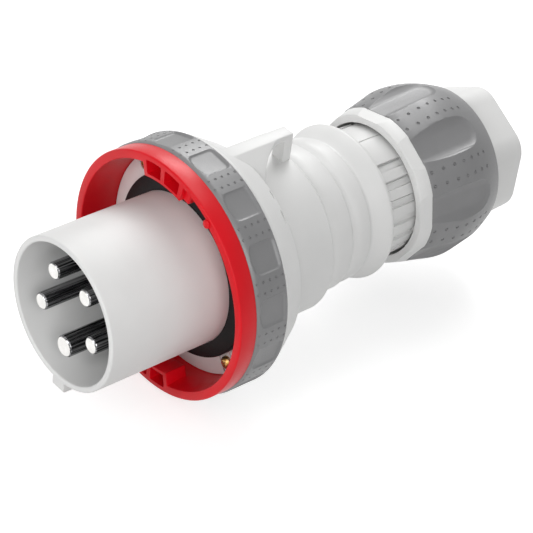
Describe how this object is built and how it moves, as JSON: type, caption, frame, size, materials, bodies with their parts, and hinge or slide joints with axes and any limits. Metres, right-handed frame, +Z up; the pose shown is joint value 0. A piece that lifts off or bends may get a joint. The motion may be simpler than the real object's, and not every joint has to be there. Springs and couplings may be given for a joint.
{
  "type": "industrial pin and sleeve plug",
  "caption": "Watertight industrial plug: contact pins in a keyed round sleeve, bayonet locking ring, handle with lanyard eye and corrugations, and a screw cable gland.",
  "frame": {"origin": "on the plug's axis, in the plane of the sleeve's mouth", "axes": "+X along the plug from the sleeve's mouth to the cable end, +Z up with the lanyard eye on top and the earth pin and key rib underneath"},
  "size_m": [0.246, 0.1162, 0.1162],
  "materials": {
    "white_shell": "satin moulded",
    "red_ring": "satin moulded",
    "grey_grip": "matt soft",
    "gasket_rubber": "matt",
    "nickel": "bright plated",
    "screw_brass": "yellow chromate",
    "steel": "zinc plated",
    "insulator": "matt",
    "clamp_plastic": "matt"
  },
  "bodies": {
    "plug_body": {"sleeve": "white_shell", "pin_carrier": "insulator", "pin_earth": "nickel", "pin_neutral": "nickel", "pin_l3": "nickel", "pin_l2": "nickel", "pin_l1": "nickel", "terminal_housing": "insulator", "terminal_screws": "steel", "carrier_screws": "steel", "flange_gasket": "gasket_rubber", "flange_screws": "screw_brass", "body_seal": "gasket_rubber", "body": "white_shell", "cable_seal": "gasket_rubber"},
    "locking_ring": {"bayonet_ring": "red_ring", "ring_grip": "grey_grip"},
    "clamp_slide": {"thrust_washer": "clamp_plastic", "cable_clamp": "clamp_plastic"},
    "gland": {"gland_nut": "white_shell", "nut_grip": "grey_grip"}
  },
  "joints": [
    {"name": "ring_turn", "type": "hinge", "parent": "plug_body", "child": "locking_ring", "pos_m": [0.06, 0, 0], "axis": [-1, 0, 0], "range_deg": [0, 45]},
    {"name": "nut_travel", "type": "slide", "parent": "plug_body", "child": "clamp_slide", "axis": [-1, 0, 0], "range_m": [0, 0.0115]},
    {"name": "nut_turn", "type": "hinge", "parent": "clamp_slide", "child": "gland", "pos_m": [0.2, 0, 0], "axis": [-1, 0, 0], "range_deg": [0, 1035]}
  ],
  "couplings": [
    {"joint": "nut_travel", "follows": "nut_turn", "m_per_rad": 0.00063662}
  ]
}
